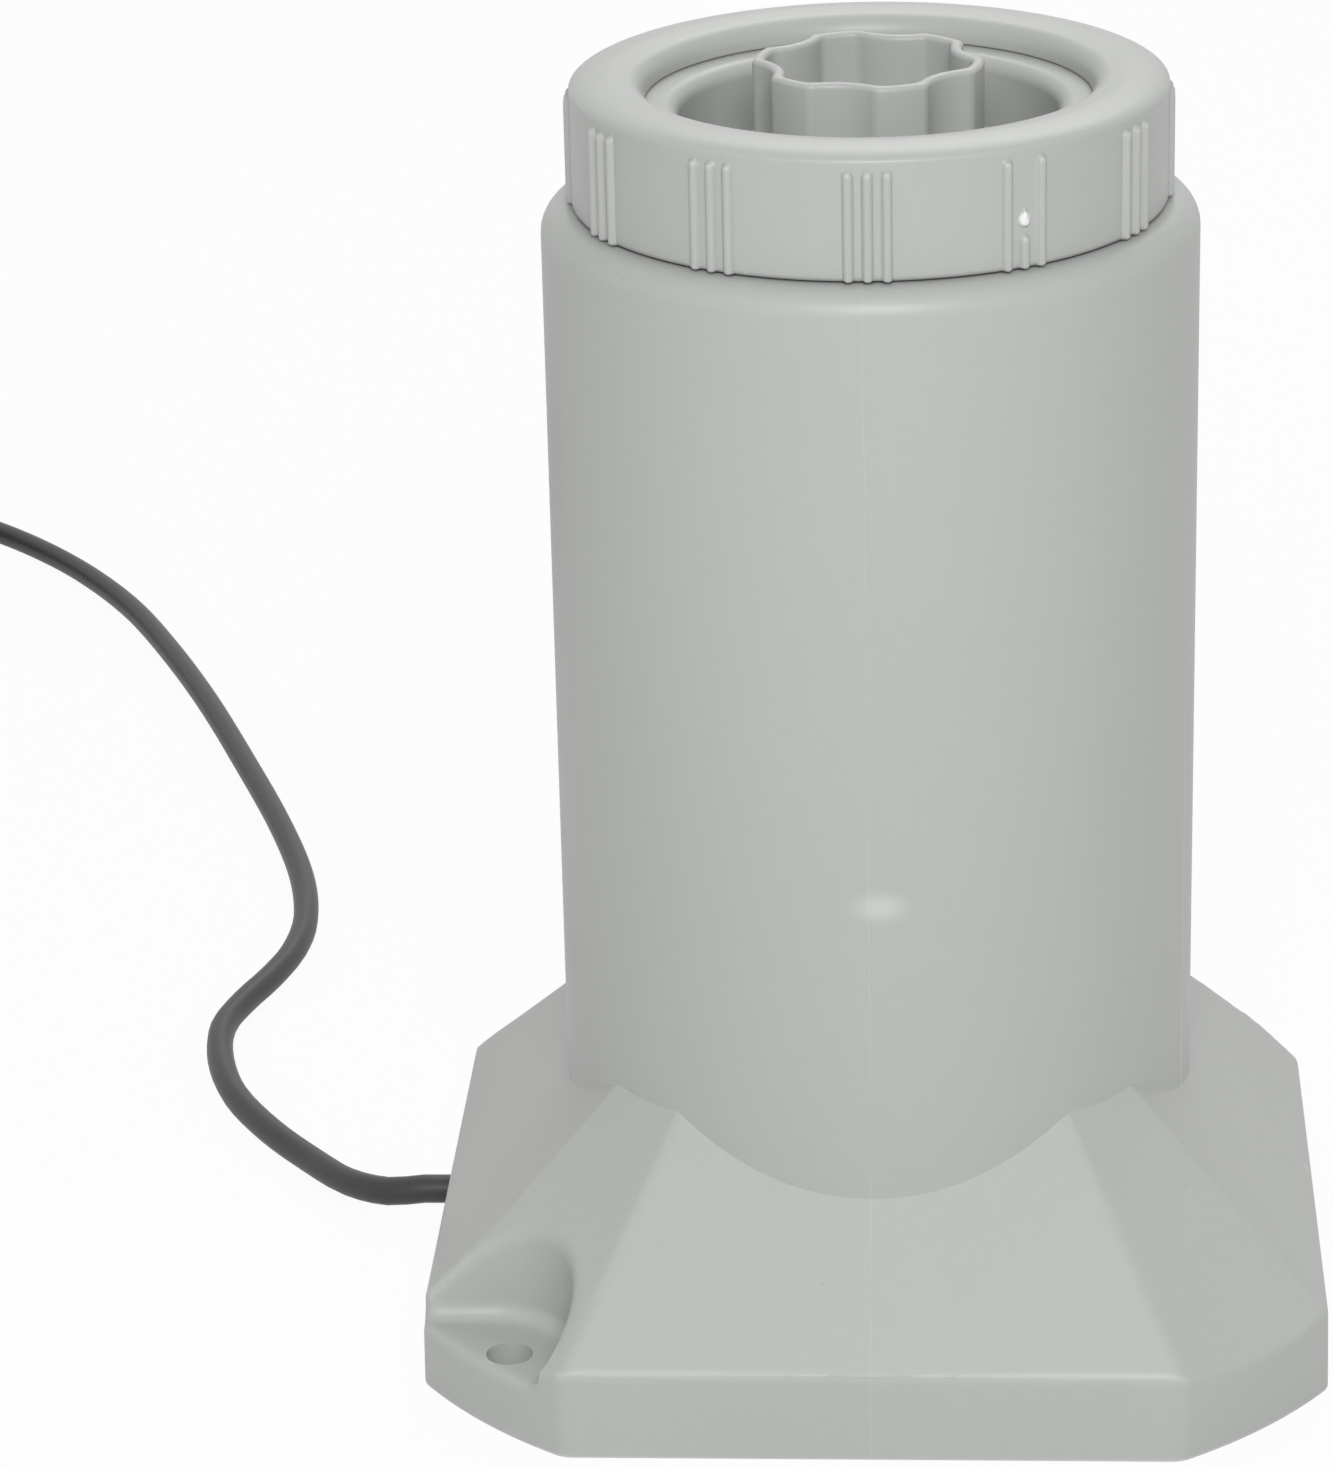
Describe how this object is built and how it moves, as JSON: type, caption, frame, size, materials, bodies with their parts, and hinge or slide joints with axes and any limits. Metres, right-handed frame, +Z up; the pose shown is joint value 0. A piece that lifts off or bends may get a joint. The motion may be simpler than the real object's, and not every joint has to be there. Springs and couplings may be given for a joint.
{
  "type": "cartridge filter pump",
  "caption": "Upright water filter pump: round canister on a flared square foot, threaded collar over a dished lid with a lobed grip, two hose spigots at the back and a thin black lead.",
  "frame": {"origin": "on the floor, on the canister's axis, in the middle of the two base fixing holes", "axes": "+Z up along the canister, -Y to the front, both hose spigots along +Y, the cable leaves at -X"},
  "size_m": [0.4044, 0.4891, 0.2197],
  "materials": {
    "housing_plastic": "fine-grained moulded plastic",
    "base_plastic": "plain moulded plastic",
    "collar_plastic": "satin moulded plastic",
    "lid_plastic": "satin moulded plastic",
    "seal_rubber": "plain black rubber",
    "filter_paper": "pleated filter paper",
    "cap_rubber": "soft moulded end cap",
    "core_plastic": "moulded plastic",
    "pump_plastic": "glass-filled moulded plastic",
    "impeller_plastic": "moulded plastic",
    "magnet_ferrite": "sintered ferrite",
    "sleeve_carbon": "carbon bearing bush",
    "shaft_ceramic": "ground ceramic",
    "core_steel": "stacked lacquered plates",
    "bobbin_plastic": "moulded plastic",
    "coil_copper": "enamelled copper wire",
    "screw_steel": "stainless steel",
    "wire_plastic": "insulated wire",
    "cord_pvc": "satin black jacket",
    "tie_fabric": "hook and loop band",
    "connector_plastic": "moulded black plug",
    "pin_brass": "turned brass"
  },
  "bodies": {
    "root": {"housing": "housing_plastic", "base_plate": "base_plastic", "base_plate_screws": "screw_steel", "cartridge_media": "filter_paper", "cartridge_cap_upper": "cap_rubber", "cartridge_cap_lower": "cap_rubber", "cartridge_core": "core_plastic", "pump_plate": "pump_plastic", "pump_seal": "seal_rubber", "pump_plate_screws": "screw_steel", "thrust_washer_lower": "shaft_ceramic", "thrust_washer_upper": "shaft_ceramic", "shaft": "shaft_ceramic", "shaft_seat_lower": "seal_rubber", "shaft_seat_upper": "seal_rubber", "stator_core": "core_steel", "bobbin_left": "bobbin_plastic", "bobbin_right": "bobbin_plastic", "coil_left": "coil_copper", "coil_right": "coil_copper", "motor_case": "pump_plastic", "lead_wires": "wire_plastic", "cable_tail": "cord_pvc", "cable_grommet": "seal_rubber", "cord": "cord_pvc", "cord_coil": "cord_pvc", "coil_tie": "tie_fabric", "connector": "connector_plastic", "connector_pins": "pin_brass"},
    "lid_body": {"lid": "lid_plastic", "lid_seal": "seal_rubber"},
    "collar_body": {"collar": "collar_plastic"},
    "rotor": {"impeller": "impeller_plastic", "rotor_magnet": "magnet_ferrite", "rotor_sleeve": "sleeve_carbon"}
  },
  "joints": [
    {"name": "lid_lift", "type": "slide", "parent": "root", "child": "lid_body", "axis": [0, 0, 1], "range_m": [0, 0.012]},
    {"name": "collar_turn", "type": "hinge", "parent": "lid_body", "child": "collar_body", "pos_m": [0, 0, 0.2], "axis": [0, 0, 1], "range_deg": [0, 720]},
    {"name": "rotor_spin", "type": "hinge", "parent": "root", "child": "rotor", "pos_m": [0, 0, 0.05], "axis": [0, 0, 1], "continuous": true}
  ],
  "couplings": [
    {"joint": "lid_lift", "follows": "collar_turn", "m_per_rad": 0.00095492}
  ]
}
